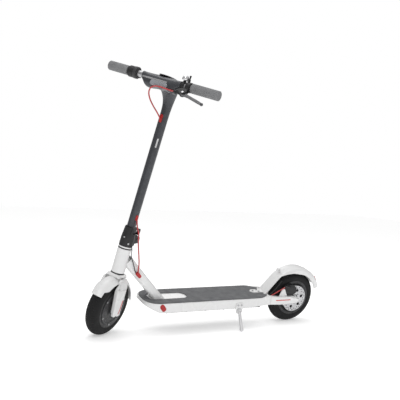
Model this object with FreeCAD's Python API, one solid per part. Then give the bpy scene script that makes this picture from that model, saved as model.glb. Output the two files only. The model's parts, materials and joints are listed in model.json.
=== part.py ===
import FreeCAD, Part
import math
import os
from FreeCAD import Matrix, Placement, Rotation, Vector

# Electric kick scooter. Millimetres and degrees.
# Two building frames are used:
#   frame side: X forward, Y to the rider's left, Z up, rear axle above the origin;
#   front side: the same directions, but Z runs up the steering axis from the front axle, bars straight.
# At the end the front side is steered and tilted into place, the scooter leans onto its stand,
# and everything moves so that the origin is below the middle of the whole scooter.

# ---- overall ----
wheelbase = 822.0
head_angle = 9.7            # steering axis, back from upright
steer_rest = 33.0           # bars turned to the left as parked
lean_rest = 11.5            # scooter leaning left onto its stand
bar_height = 820.0          # bar axis above the front axle, along the steering axis
bar_forward = 78.0          # bar axis in front of the steering axis
bar_length = 438.0
deck_top = 133.0
deck_bottom = 98.0
deck_half_width = 72.0
deck_front = 699.0
deck_rear = 140.0

# ---- wheels ----
wheel_radius = 108.0
tyre_width = 50.0
tyre_wall = 4.5
bead_radius = 67.8
rim_flange_radius = 73.8
rim_half_width = 23.5
tread_groove = 1.8
axle_radius = 5.95
bearing_bore = 6.0
bearing_radius = 14.0
bearing_width = 8.0

# ---- front motor and fork ----
shell_bore = 56.0
cover_face = 26.5
cover_radius = 64.5
magnet_thickness = 3.3
magnet_gap = 0.7
stator_slots = 18
leg_inner = 31.5
leg_thickness = 6.1
leg_half_depth = 18.0
leg_cover_thickness = 8.6
leg_bottom = -16.0
leg_top_front = 36.0
cover_bottom = -23.0
cover_top = 77.0
fender_gap = 7.5            # tyre to the inside of the front fender
fender_skin = 2.5
fender_reach = 62.0         # half the arc that the front fender wraps round the tyre

# ---- steering head ----
crown_top = 127.5
ring_height = 4.0
ring_radius = 24.5
head_tube_radius = 24.5
head_tube_top = 221.0
spacer_height = 5.2
steerer_radius = 14.0
steerer_bore = 10.5
running_gap = 0.05
head_bearing_radius = 20.0
head_bearing_height = 7.0
part_gap = 0.3

# ---- fold ----
base_top = 292.0
base_lip_top = 301.0
base_radius = 24.6
base_top_radius = 20.8
pocket_floor = 246.0
pocket_half_width = 15.8
pocket_front = 17.2
hinge_x = -34.0
hinge_z = 259.0
hinge_pin_radius = 4.0
ear_radius = 12.0
ear_inner = 15.8
ear_outer = 22.0
latch_x = -24.0
latch_z = 290.0
latch_half_width = 14.0
catch_pin = (-44.0, latch_z + 2.0)

# ---- stem, head and bar ----
stem_radius = 15.8
stem_wall = 2.2
stem_bottom = 304.0
stem_top = 706.0
bar_radius = 11.1
bar_wall = 2.0
grip_radius = 16.4
grip_left = (117.0, 220.5)
grip_right = (-219.0, -138.5)
clamp_gap = 0.1
dash_tilt = 3.0
lens_half_width = 33.5
lens_half_height = 9.5

# ---- brake lever ----
lever_drop = 50.0           # lever plane below the horizontal
lever_pivot_y = 101.0
lever_pivot_d = 34.0
lever_pin_radius = 2.5

# ---- cables ----
cable_radius = 2.4
thin_cable_radius = 1.5

# ---- rear end ----
arm_inner = 44.0
arm_thickness = 8.0
arm_cover_thickness = 7.0
disc_radius = 56.0
disc_y = 31.0
disc_thickness = 2.0
rear_fender_radius = 133.0
rear_fender_half_width = 33.0
rear_fender_skirt = 27.0
ramp_angle = 40.0           # where the rear fender's arc becomes its straight ramp
mat_thickness = 3.0
ramp_foot = 151.0

# ---- stand ----
stand_foot = (309.4, 129.0)   # where the stand's foot rests on the ground, from the rear tyre's mark
stand_head = (300.0, 77.7, 90.0)
stand_pad_radius = 8.0
stand_axis_tilt = 35.0

X_AXIS = Vector(1, 0, 0)
Y_AXIS = Vector(0, 1, 0)
Z_AXIS = Vector(0, 0, 1)
ORIGIN = Vector(0, 0, 0)

front_nodes = {}
frame_nodes = {}
cord_report = []


# ---- small helpers ----
def box(x0, x1, y0, y1, z0, z1):
    return Part.makeBox(x1 - x0, y1 - y0, z1 - z0, Vector(x0, y0, z0))


def rod(start, end, radius):
    start, end = Vector(*start), Vector(*end)
    return Part.makeCylinder(radius, (end - start).Length, start, end - start)


def pipe(start, end, outer, inner):
    return rod(start, end, outer).cut(rod(start, end, inner))


def across(x, z, y0, y1, radius):
    return rod((x, y0, z), (x, y1, z), radius)


def join(shapes):
    shapes = list(shapes)
    return shapes[0].multiFuse(shapes[1:]).removeSplitter()


def group(shapes):
    return Part.makeCompound([solid for shape in shapes for solid in shape.Solids])


def arc_band(ring, outer, inner, reach):
    """Curved strip in the XY plane, centred ring away from the Y axis and reach degrees to each side."""
    def point(radius, angle):
        turn = math.radians(angle)
        return Vector(ring + radius * math.cos(turn), radius * math.sin(turn), 0)

    edges = [Part.Arc(point(outer, -reach), point(outer, 0), point(outer, reach)).toShape(),
             Part.LineSegment(point(outer, reach), point(inner, reach)).toShape(),
             Part.Arc(point(inner, reach), point(inner, 0), point(inner, -reach)).toShape(),
             Part.LineSegment(point(inner, -reach), point(outer, -reach)).toShape()]
    return Part.Face(Part.Wire(edges))


def both_sides(shape):
    return group([shape, shape.mirror(ORIGIN, Y_AXIS)])


def turned(profile, axis):
    """Solid of revolution; profile is (radius, distance along the axis)."""
    if axis == Y_AXIS:
        points = [Vector(r, h, 0) for r, h in profile]
    else:
        points = [Vector(r, 0, h) for r, h in profile]
    face = Part.Face(Part.makePolygon(points + points[:1]))
    return face.revolve(ORIGIN, axis, 360)


def rounded_wire(corners, place):
    """Closed wire through corners (u, v, corner radius); place turns u, v into a point."""
    edges, ends = [], []
    count = len(corners)
    for i in range(count):
        u, v, radius = corners[i]
        here = Vector(u, v, 0)
        back = (Vector(*corners[i - 1][:2], 0) - here).normalize()
        ahead = (Vector(*corners[(i + 1) % count][:2], 0) - here).normalize()
        if radius <= 0:
            ends.append((here, here, None))
            continue
        turn = math.pi - back.getAngle(ahead)
        reach = radius * math.tan(turn / 2)
        middle = here + (back + ahead).normalize() * (reach * math.tan(turn / 4))
        ends.append((here + back * reach, here + ahead * reach, middle))
    for i in range(count):
        enter, leave, middle = ends[i]
        following = ends[(i + 1) % count][0]
        if middle is not None:
            edges.append(Part.Arc(place(enter), place(middle), place(leave)).toShape())
        if (following - leave).Length > 1e-6:
            edges.append(Part.LineSegment(place(leave), place(following)).toShape())
    return Part.Wire(edges)


def plate_xy(corners, z0, z1):
    wire = rounded_wire(corners, lambda p: Vector(p.x, p.y, z0))
    return Part.Face(wire).extrude(Vector(0, 0, z1 - z0))


def plate_xz(corners, y0, y1):
    wire = rounded_wire(corners, lambda p: Vector(p.x, y0, p.y))
    return Part.Face(wire).extrude(Vector(0, y1 - y0, 0))


def plate_yz(corners, x0, x1):
    wire = rounded_wire(corners, lambda p: Vector(x0, p.x, p.y))
    return Part.Face(wire).extrude(Vector(x1 - x0, 0, 0))


def mirrored(half):
    """Outline symmetric about v = 0 from its upper half."""
    return half + [(u, -v, r) for u, v, r in reversed(half)]


def soften(shape, radius, wanted):
    edges = [edge for edge in shape.Edges if wanted(edge.BoundBox, edge)]
    return shape.makeFillet(radius, edges) if edges else shape


def cord_wire(points):
    """Straight runs joined by tangent arcs as large as their runs allow; returns wire and radii."""
    points = [Vector(*p) for p in points]
    edges, radii = [], []
    start = points[0]
    for i in range(1, len(points) - 1):
        here = points[i]
        back = points[i - 1] - here
        ahead = points[i + 1] - here
        reach = 0.45 * min(back.Length, ahead.Length)
        back.normalize()
        ahead.normalize()
        turn = math.pi - back.getAngle(ahead)
        enter, leave = here + back * reach, here + ahead * reach
        middle = here + (back + ahead).normalize() * (reach * math.tan(turn / 4))
        edges.append(Part.LineSegment(start, enter).toShape())
        edges.append(Part.Arc(enter, middle, leave).toShape())
        radii.append(reach / math.tan(turn / 2))
        start = leave
    edges.append(Part.LineSegment(start, points[-1]).toShape())
    return Part.Wire(edges), radii


def cord(name, points, radius):
    wire, radii = cord_wire(points)
    start = Vector(*points[0])
    direction = Vector(*points[1]) - start
    circle = Part.Wire(Part.Circle(start, direction, radius).toShape())
    tube = wire.makePipeShell([circle], True, True)
    expected = math.pi * radius ** 2 * wire.Length
    cord_report.append((name, wire.Length, min(radii), tube.Volume / expected))
    return tube


def bolt(base, direction, head_radius, head_height, shank_radius, shank_length):
    """Socket screw; base is where the underside of the head sits, direction points out of the head."""
    base, direction = Vector(*base), Vector(*direction).normalize()
    head = Part.makeCylinder(head_radius, head_height, base, direction)
    socket = Part.makeCylinder(head_radius * 0.5, head_height * 0.6,
                               base + direction * (head_height * 0.4), direction)
    shank = Part.makeCylinder(shank_radius, shank_length, base - direction * shank_length, direction)
    return head.fuse(shank).cut(socket)


# ---- placing ----
def steering_place(steer):
    tilt = Rotation(Y_AXIS, -head_angle)
    steered = Placement(ORIGIN, Rotation(Z_AXIS, steer))
    return Placement(Vector(wheelbase, 0, wheel_radius), tilt).multiply(steered)


def parked_place():
    """Lean onto the stand, then pitch and drop so that both tyres stand on the ground."""
    lean = Placement(ORIGIN, Rotation(X_AXIS, -lean_rest))
    tyre_tube = tyre_width / 2
    ring = wheel_radius - tyre_tube

    def lowest(centre, axle):
        centre, axle = lean.multVec(centre), lean.Rotation.multVec(axle)
        return centre.z - ring * math.sqrt(1 - axle.z ** 2) - tyre_tube

    rear_low = lowest(Vector(0, 0, wheel_radius), Y_AXIS)
    front_low = lowest(Vector(wheelbase, 0, wheel_radius), steering_place(steer_rest).Rotation.multVec(Y_AXIS))
    pitch = math.degrees(math.atan2(front_low - rear_low, wheelbase))
    drop = Placement(Vector(0, 0, -rear_low), Rotation(Y_AXIS, pitch))
    return drop.multiply(lean)


parked = parked_place()
front_rest = parked.multiply(steering_place(steer_rest))


# ---- wheels ----
def tyre():
    tube_radius = tyre_width / 2
    ring = wheel_radius - tube_radius
    outer = Part.makeTorus(ring, tube_radius, ORIGIN, Y_AXIS)
    air = Part.makeTorus(ring + 1, tube_radius - tyre_wall, ORIGIN, Y_AXIS)
    seat = across(0, 0, -tyre_width, tyre_width, bead_radius + part_gap)
    shape = outer.cut(air).cut(seat)
    flange_inside = rim_half_width - 2.5
    for side in (-1, 1):
        shape = shape.cut(across(0, 0, side * (flange_inside - part_gap), side * tyre_width,
                                 rim_flange_radius + part_gap))
    for y in (-8.0, 0.0, 8.0):
        groove = pipe((0, y - 0.9, 0), (0, y + 0.9, 0), wheel_radius + 2,
                      ring + math.sqrt(tube_radius ** 2 - y ** 2) - tread_groove)
        shape = shape.cut(groove)
    return shape


def inner_tube():
    ring = wheel_radius - tyre_width / 2 + 1
    outside = tyre_width / 2 - tyre_wall - part_gap
    return Part.makeTorus(ring, outside, ORIGIN, Y_AXIS).cut(Part.makeTorus(ring, outside - 1.6, ORIGIN, Y_AXIS))


def rim_profile(bore):
    """Rim channel from its bore out; the well in the middle lets the tyre go on."""
    inside = rim_half_width - 2.5
    upper = [(bore, rim_half_width), (rim_flange_radius, rim_half_width), (rim_flange_radius, inside),
             (bead_radius, inside), (bead_radius, 14.0), (61.0, 12.0)]
    return upper + [(r, -y) for r, y in reversed(upper)]


def around_wheel(count, radius, offset=0.0):
    for i in range(count):
        angle = math.radians(offset + 360.0 * i / count)
        yield radius * math.cos(angle), radius * math.sin(angle)


def front_wheel():
    screw_circle = 60.5
    shell = turned(rim_profile(shell_bore), Y_AXIS)
    cover = turned([(8, 28.5), (8, 29.5), (18, 29.5), (20, cover_face), (30, cover_face), (31, 25.7),
                    (34, 25.7), (35, cover_face), (46, cover_face), (47, 25.7), (50, 25.7), (51, cover_face),
                    (cover_radius - 1, cover_face), (cover_radius, cover_face - 1),
                    (cover_radius, rim_half_width), (shell_bore - clamp_gap, rim_half_width),
                    (shell_bore - clamp_gap, 20.5), (bearing_radius, 20.5), (bearing_radius, 28.5)], Y_AXIS)
    screws = []
    for x, z in around_wheel(6, screw_circle, 30):
        hole = across(x, z, 12, 30, 1.8)
        cover = cover.cut(hole)
        shell = shell.cut(across(x, z, 14, 30, 1.8)).cut(across(x, z, -30, -14, 1.8))
        screws.append(bolt((x, cover_face, z), (0, 1, 0), 3.4, 1.8, 1.75, 10))
    bearing = pipe((0, 28.5 - bearing_width, 0), (0, 28.5, 0), bearing_radius, bearing_bore)
    magnets = pipe((0, -14, 0), (0, 14, 0), shell_bore - clamp_gap, shell_bore - magnet_thickness)
    front_nodes["front_tyre"] = tyre()
    front_nodes["front_inner_tube"] = inner_tube()
    front_nodes["motor_shell"] = shell
    front_nodes["motor_covers"] = both_sides(cover)
    front_nodes["motor_bearings_magnets_screws"] = group([both_sides(group([bearing] + screws)), magnets])


def motor_inside():
    stator_radius = shell_bore - magnet_thickness - magnet_gap
    stator = pipe((0, -13, 0), (0, 13, 0), stator_radius, axle_radius + running_gap)
    for x, z in around_wheel(stator_slots, stator_radius - 9):
        stator = stator.cut(across(x, z, -14, 14, 4.5))
    half_length = leg_inner + leg_thickness + leg_cover_thickness - 3
    axle = across(0, 0, -half_length, half_length, axle_radius)
    nut_start = leg_inner + leg_thickness + clamp_gap
    for side in (-1, 1):
        for flat in (-1, 1):
            axle = axle.cut(box(*sorted((flat * 5.0, flat * 8.0)),
                                *sorted((side * (leg_inner - 1), side * nut_start)), -8, 8))
    nut = Part.Face(Part.makePolygon([Vector(10.3 * math.cos(math.radians(60 * i)), nut_start,
                                             10.3 * math.sin(math.radians(60 * i))) for i in range(7)]))
    nut = nut.extrude(Vector(0, 5.2, 0)).cut(across(0, 0, 30, 60, axle_radius + running_gap))
    front_nodes["motor_stator"] = stator
    front_nodes["motor_axle_and_nuts"] = group([axle, both_sides(nut)])


def fork():
    leg_outer = leg_inner + leg_thickness
    cover_outer = leg_outer + leg_cover_thickness
    arch = wheel_radius + fender_gap + fender_skin + clamp_gap
    front_view = plate_yz([(-cover_outer, cover_top + 0.3, 2), (-cover_outer, 86, 12), (-40, 106, 14),
                           (-27, 118, 10), (-ring_radius, crown_top, 0), (ring_radius, crown_top, 0),
                           (27, 118, 10), (40, 106, 14), (cover_outer, 86, 12),
                           (cover_outer, cover_top + 0.3, 2)], -40, 40)
    side_view = plate_xz([(-leg_half_depth, cover_top, 0), (-leg_half_depth - 1, 92, 10),
                          (-ring_radius, 116, 10), (-ring_radius, crown_top, 0),
                          (ring_radius, crown_top, 0), (ring_radius, 116, 10),
                          (leg_half_depth + 1, 92, 10), (leg_half_depth, cover_top, 0)], -60, 60)
    crown = front_view.common(side_view)
    top_round = rod((0, 0, 100), (0, 0, crown_top), ring_radius + 0.001)
    shoulder = box(-30, 30, -60, 60, 60, 117)
    crown = crown.common(top_round.fuse(shoulder))
    crown = crown.cut(across(0, 0, -leg_inner, leg_inner, arch))
    legs = []
    for side in (-1, 1):
        leg = plate_xz([(-leg_half_depth, leg_bottom, 12), (leg_half_depth, leg_bottom, 12),
                        (leg_top_front - 2, cover_top, 14), (leg_half_depth, 96, 6), (leg_half_depth, 100, 0),
                        (-leg_half_depth, 100, 0)],
                       side * leg_inner, side * leg_outer)
        slot = box(-5.1, 5.1, *sorted((side * 30, side * 40)), leg_bottom - 1, 0)
        leg = leg.cut(slot).cut(across(0, 0, side * 30, side * 40, axle_radius + running_gap))
        legs.append(leg)
    steerer = pipe((0, 0, crown_top - 2), (0, 0, pocket_floor - 1), steerer_radius, steerer_bore)
    front_nodes["fork"] = join([crown, steerer] + legs)

    start = leg_outer + clamp_gap
    outline = [(-19.5, cover_top, 3), (-19.5, cover_bottom, 8), (-2, cover_bottom, 5), (2, cover_bottom + 5, 3),
               (6, cover_bottom, 5), (21.5, cover_bottom, 8), (leg_top_front, cover_top, 4)]
    cover = plate_xz(outline, start, cover_outer)
    cover = soften(cover, 2.0, lambda b, e: b.YMin > cover_outer - 0.01)
    cover = cover.cut(plate_xz([(-14, -15, 10), (14, -15, 10), (14, 55, 6), (-14, 55, 6)],
                               start - 1, cover_outer - 2.4))
    front_nodes["fork_leg_covers"] = both_sides(cover)

    ring = wheel_radius - tyre_width / 2
    outside = tyre_width / 2 + fender_gap + fender_skin
    face = arc_band(ring, outside, outside - fender_skin, fender_reach)
    fender = face.rotate(ORIGIN, Y_AXIS, -27).revolve(ORIGIN, Vector(0, -1, 0), 143)
    reach = ring + outside
    plan = plate_xy(mirrored([(reach * math.cos(math.radians(30.5)), 33, 32), (-reach - 2, 33, 24)]), -40, 140)
    fender = fender.common(plan)
    for side in (-1, 1):
        wedge = plate_xz([(55, 77, 2), (98, 66, 4), (140, 54, 0), (140, 0, 0), (55, 0, 0)],
                         *sorted((side * 22, side * 40)))
        fender = fender.cut(wedge)
    front_nodes["front_fender"] = fender


# ---- steering head ----
def steering_head():
    z0 = crown_top
    ring = pipe((0, 0, z0), (0, 0, z0 + ring_height), ring_radius, steerer_radius + running_gap)
    z1 = z0 + ring_height + part_gap
    seat = head_bearing_height
    z2 = head_tube_top
    tube = turned([(head_bearing_radius, z1), (head_tube_radius - 0.8, z1), (head_tube_radius, z1 + 0.8),
                   (head_tube_radius, z2 - 0.8), (head_tube_radius - 0.8, z2), (head_bearing_radius, z2),
                   (head_bearing_radius, z2 - seat), (steerer_radius + 2, z2 - seat),
                   (steerer_radius + 2, z1 + seat), (head_bearing_radius, z1 + seat)], Z_AXIS)
    bearings = [pipe((0, 0, z), (0, 0, z + seat), head_bearing_radius, steerer_radius + running_gap)
                for z in (z1, z2 - seat)]
    z3 = z2 + part_gap
    upper = pipe((0, 0, z3), (0, 0, z3 + ring_height), ring_radius, steerer_radius + running_gap)
    z4 = z3 + ring_height
    spacer = pipe((0, 0, z4), (0, 0, z4 + spacer_height), ring_radius - 0.4, steerer_radius + running_gap)
    front_nodes["headset_rings"] = group([ring, upper])
    front_nodes["headset_spacer"] = spacer
    placed = steering_place(0)
    frame_nodes["head_tube"] = tube.transformed(placed.toMatrix())
    return z4 + spacer_height, group(bearings).transformed(placed.toMatrix())


# ---- fold joint ----
def fold_joint(base_bottom):
    floor = pocket_floor
    body = turned([(0, base_bottom), (base_radius, base_bottom), (base_radius, hinge_z),
                   (base_top_radius, base_lip_top), (0, base_lip_top)], Z_AXIS)
    body = body.cut(box(-40, 9, -40, 40, base_top - 12, base_lip_top + 1))
    body = body.cut(box(-60, pocket_front, -pocket_half_width, pocket_half_width, floor, base_lip_top + 1))
    ears = []
    for side in (-1, 1):
        ear = plate_xz([(hinge_x - ear_radius, hinge_z - ear_radius, ear_radius - 0.1),
                        (hinge_x + 24, hinge_z - ear_radius - 4, 4), (4, floor - 4, 2), (4, hinge_z + 22, 6),
                        (hinge_x + 14, hinge_z + ear_radius, 6),
                        (hinge_x - ear_radius, hinge_z + ear_radius, ear_radius - 0.1)],
                       *sorted((side * ear_inner, side * ear_outer)))
        ears.append(ear)
    web = plate_xz([(hinge_x + 16, base_bottom + 6, 3), (0, base_bottom + 6, 0), (0, floor, 0),
                    (hinge_x + 16, floor - 2, 2)], -ear_outer, ear_outer)
    base = join([body, web] + ears)
    base = base.cut(across(hinge_x, hinge_z, -40, 40, hinge_pin_radius + running_gap))
    base = base.cut(rod((0, 0, base_bottom - 1), (0, 0, floor - 0.5), steerer_radius + running_gap))
    lead_hole = Vector(*lead_exit[0])
    lead_way = (Vector(*lead_exit[1]) - lead_hole).normalize()
    base = base.cut(Part.makeCylinder(thin_cable_radius + clamp_gap, 20, lead_hole - lead_way * 0.1, lead_way))
    screw_places = [(0, hinge_z + 5, 4.5), (49, base_bottom + 13, 9), (-49, base_bottom + 13, 9)]
    screws = []
    for angle, z, length in screw_places:
        out = Vector(math.cos(math.radians(angle)), math.sin(math.radians(angle)), 0)
        seat = out * (base_radius - 1.6) + Vector(0, 0, z)
        base = base.cut(Part.makeCylinder(3.4, 6, seat, out))
        base = base.cut(Part.makeCylinder(1.9, length, seat - out * length * 0.8, out))
        screws.append(bolt(tuple(seat), tuple(out), 3.2, 2.2, 1.8, length * 0.75))
    pin = across(hinge_x, hinge_z, -ear_outer - 0.1, ear_outer + 0.1, hinge_pin_radius)
    for side in (-1, 1):
        pin = pin.fuse(across(hinge_x, hinge_z, side * (ear_outer + 0.1), side * (ear_outer + 3), 6.5))
    front_nodes["fold_base"] = base
    front_nodes["fold_pin_and_screws"] = group([pin] + screws)

    knuckle_half = 12.0
    block_bottom = floor + 0.8
    front = pocket_front - 0.6
    block = plate_xz([(-19, block_bottom + 1, 4), (front - 1, block_bottom, 7), (front, base_top, 0),
                      (front, stem_bottom, 0), (-18, stem_bottom, 0), (-19, 285, 4)],
                     -pocket_half_width + 0.5, pocket_half_width - 0.5)
    block = block.common(rod((0, 0, floor), (0, 0, stem_bottom), base_top_radius - 1))
    knuckle = plate_xz([(hinge_x - 11.5, hinge_z - 11.5, 11.4), (hinge_x + 18, hinge_z - 11.5, 2),
                        (-10, hinge_z - 11, 0), (-10, hinge_z + 24, 0), (hinge_x + 16, hinge_z + 20, 6),
                        (hinge_x - 11.5, hinge_z + 11.5, 11.4)], -knuckle_half, knuckle_half)
    spigot = rod((0, 0, stem_bottom - 2), (0, 0, stem_bottom + 34), stem_radius - stem_wall - clamp_gap)
    lugs = [plate_xz([(latch_x - 6, latch_z - 6, 5.9), (-14, latch_z - 9, 0), (-14, latch_z + 9, 0),
                      (latch_x - 6, latch_z + 6, 5.9)], *sorted((side * 7.5, side * 12.5)))
            for side in (-1, 1)]
    foot = join([block, knuckle, spigot] + lugs)
    foot = foot.cut(across(hinge_x, hinge_z, -40, 40, hinge_pin_radius + running_gap))
    foot = foot.cut(across(latch_x, latch_z, -40, 40, 3.0 + running_gap))
    front_nodes["stem_foot"] = foot.cut(rod((0, 0, 290), (0, 0, stem_bottom + 40), 10))

    z = latch_z
    lever = plate_xz([(-31.5, z + 8, 3), (-46, z + 7, 3), (-48.5, z, 3), (-47, z - 17, 3), (-40, z - 17, 3),
                      (-36.5, z - 8, 6), (-31, z - 5, 1)], -latch_half_width, latch_half_width)
    arm = plate_xz([(latch_x - 9, z - 6, 1), (latch_x, z - 5, 4.9), (latch_x + 5, z, 4.9),
                    (latch_x, z + 5, 4.9), (latch_x - 10, z + 6, 1)], -7, 7)
    lever = join([lever, arm]).cut(across(latch_x, z, -20, 20, 3.0 + running_gap))
    inside = latch_half_width - 2.7
    pin_x, pin_z = catch_pin
    lever = lever.cut(box(-60, -40, -inside, inside, z - 5.5, z + 13))
    lever = lever.cut(box(-60, -45.6, -inside, inside, z - 27, z - 5.4))
    lever = lever.cut(across(pin_x, pin_z, -18, 18, 1.5 + running_gap))
    front_nodes["latch_lever"] = lever
    catch = plate_xz([(pin_x + 1.6, pin_z + 2.5, 1), (-48.5, pin_z + 2, 2), (-49.5, z - 13, 1.2),
                      (-46.7, z - 13.6, 0.8), (-46.2, z - 4.5, 1), (pin_x + 1.6, pin_z - 2.5, 1)],
                     0.4 - inside, inside - 0.4)
    pin = across(pin_x, pin_z, 0.5 - latch_half_width, latch_half_width - 0.5, 1.5)
    front_nodes["safety_catch"] = catch.fuse(pin).removeSplitter()


# ---- stem ----
upper_grommet = (stem_radius, 0.0, 697.0)
lower_grommet_angle = 68.0
lower_grommet_z = 342.0


def stem_cable_points():
    """Brake cable from the lever, through the stem, to the mouth of the lower grommet."""
    out = Vector(math.cos(math.radians(lower_grommet_angle)), math.sin(math.radians(lower_grommet_angle)), 0)
    mouth = out * (stem_radius + 8.5) + Vector(0, 0, lower_grommet_z - 14)
    inside = out * 4 + Vector(0, 0, lower_grommet_z + 26)
    return [tuple(lever_point(34.0, 66.9)), tuple(lever_point(34.0, 45.0)), (103, 22, 796), (104, -3, 795),
            (98, -25, 787), (84, -36, 768), (67, -33, 747), (50, -21, 727), (34, -8, 710),
            (18, -1, 694), (7, 1, 672), (3, 2, 640), tuple(out * 2.5 + Vector(0, 0, 400)), tuple(inside),
            tuple(mouth)]


def lever_point(distance, y, lift=0.0):
    """Point beside the bar, in the plane that the brake lever sweeps."""
    drop = math.radians(lever_drop)
    out = Vector(math.cos(drop), 0, -math.sin(drop))
    normal = Vector(math.sin(drop), 0, math.cos(drop))
    return Vector(bar_forward, y, bar_height) + out * distance + normal * lift


def grommet(centre, out, length, radius=4.6, proud=4.0):
    """Rubber plug in a tube's wall, rounded at both ends."""
    out = Vector(*out).normalize()
    half = length / 2 - radius
    deep = proud + 2
    ends = [Part.makeCylinder(radius, deep, centre + Z_AXIS * offset - out * 2, out) for offset in (-half, half)]
    middle = Part.makeBox(2 * radius, deep, 2 * half, Vector(-radius, -2, -half))
    middle.Placement = Placement(centre, Rotation(Y_AXIS, out))
    return join(ends + [middle])


def stem():
    points = stem_cable_points()
    cable = cord("brake_cable_upper", points, cable_radius)
    hole = cord("hole", points, cable_radius + clamp_gap)
    cord_report.pop()
    tube = pipe((0, 0, stem_bottom), (0, 0, stem_top), stem_radius, stem_radius - stem_wall)
    out = Vector(math.cos(math.radians(lower_grommet_angle)), math.sin(math.radians(lower_grommet_angle)), 0)
    blanks = [grommet(Vector(*upper_grommet), X_AXIS, 29),
              grommet(out * stem_radius + Vector(0, 0, lower_grommet_z - 3), out, 20)]
    for blank in blanks:
        tube = tube.cut(blank)
    front_nodes["stem_tube"] = tube.cut(hole)
    front_nodes["stem_foot"] = front_nodes["stem_foot"].cut(hole).cut(blanks[1])
    front_nodes["stem_grommets"] = group([blank.cut(hole) for blank in blanks])
    front_nodes["brake_cable_upper"] = cable
    return blanks[0], hole


def oval(centre, half_u, half_v, u_axis, v_axis, power=2.6, count=20):
    """Closed smooth wire, a rounded box that is fuller than an ellipse."""
    points = []
    for i in range(count):
        angle = 2 * math.pi * i / count
        c, s = math.cos(angle), math.sin(angle)
        u = math.copysign(abs(c) ** (2 / power), c) * half_u
        v = math.copysign(abs(s) ** (2 / power), s) * half_v
        points.append(centre + u_axis * u + v_axis * v)
    curve = Part.BSplineCurve()
    curve.interpolate(points, PeriodicFlag=True)
    return Part.Wire(curve.toShape())


def stem_head():
    bar = Vector(bar_forward, 0, bar_height)
    half_sections = [(76, 0, 0, 13.6, 13.6), (67, 0, -4.5, 16, 17.2), (54, -4, -10.5, 22, 23.2),
                     (31, -13, -10, 32, 24), (0, -27, -9, 47, 25)]
    sections = [(-y, dx, dz, hx, hz) for y, dx, dz, hx, hz in half_sections]
    sections += half_sections[-2::-1]
    wires = [oval(bar + Vector(dx, y, dz), half_x, half_z, X_AXIS, Z_AXIS)
             for y, dx, dz, half_x, half_z in sections]
    head = Part.makeLoft(wires, True, False)
    neck_sections = [(stem_top, 0, stem_radius, stem_radius, 2.0), (stem_top + 24, -0.5, 16.4, 16.2, 2.05),
                     (stem_top + 52, 1.5, 19, 19, 2.2), (stem_top + 74, 9, 28, 23, 2.4),
                     (stem_top + 92, 25, 42, 28, 2.6)]
    neck = Part.makeLoft([oval(Vector(x, 0, z), half_x, half_y, X_AXIS, Y_AXIS, power)
                          for z, x, half_x, half_y, power in neck_sections], True, False)
    spigot = rod((0, 0, stem_top - 24), (0, 0, stem_top + 3), stem_radius - stem_wall - clamp_gap)
    shape = join([head, neck, spigot])
    shape = shape.cut(across(bar_forward, bar_height, -120, 120, bar_radius + clamp_gap))
    shape = shape.cut(rod((0, 0, stem_top - 30), (2, 0, stem_top + 60), 9))

    deck_centre = Vector(bar_forward - 30, 0, bar_height + 14.4)
    tilt = Rotation(Y_AXIS, -dash_tilt)
    u_axis, v_axis, up = tilt.multVec(X_AXIS), Y_AXIS, tilt.multVec(Z_AXIS)

    def dash_slab(half_u, half_v, low, high):
        wire = oval(deck_centre + up * low, half_u, half_v, u_axis, v_axis, 2.3)
        return Part.Face(wire).extrude(up * (high - low))

    shape = shape.cut(dash_slab(38.2, 27.2, 0, 30))
    shape = shape.cut(dash_slab(30, 15, -4.5, 0))
    button_centre = deck_centre - u_axis * 23
    cover = dash_slab(38, 27, 0, 2.8)
    cover = soften(cover, 1.5, lambda b, e: e.CenterOfMass.sub(deck_centre).dot(up) > 2.7)
    cover = cover.cut(Part.makeCylinder(7.3, 10, button_centre - up * 1, up))
    shape = shape.cut(Part.makeCylinder(7.6, 8, button_centre - up * 4.5, up))
    button = Part.makeCylinder(6.9, 4.6, button_centre - up * 1.6, up)
    front_nodes["power_button"] = button.makeFillet(0.6, [e for e in button.Edges
                                                          if e.CenterOfMass.sub(button_centre).dot(up) > 2.9])
    lens_z = bar_height - 16

    def lens_block(grow, back, front):
        height, width = lens_half_height + grow, lens_half_width + grow
        return plate_yz([(-width, lens_z - height, height - 0.1), (width, lens_z - height, height - 0.1),
                         (width, lens_z + height, height - 0.1), (-width, lens_z + height, height - 0.1)],
                        bar_forward + back, bar_forward + front)

    shape = shape.cut(lens_block(clamp_gap, 12.6, 40))
    lens = soften(lens_block(0, 12.8, 20.6), 1.6, lambda b, e: b.XMin > bar_forward + 20.5)
    front_nodes["stem_head"] = shape
    front_nodes["dash_cover"] = cover
    front_nodes["headlight_lens"] = lens
    return button_centre, up


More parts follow.
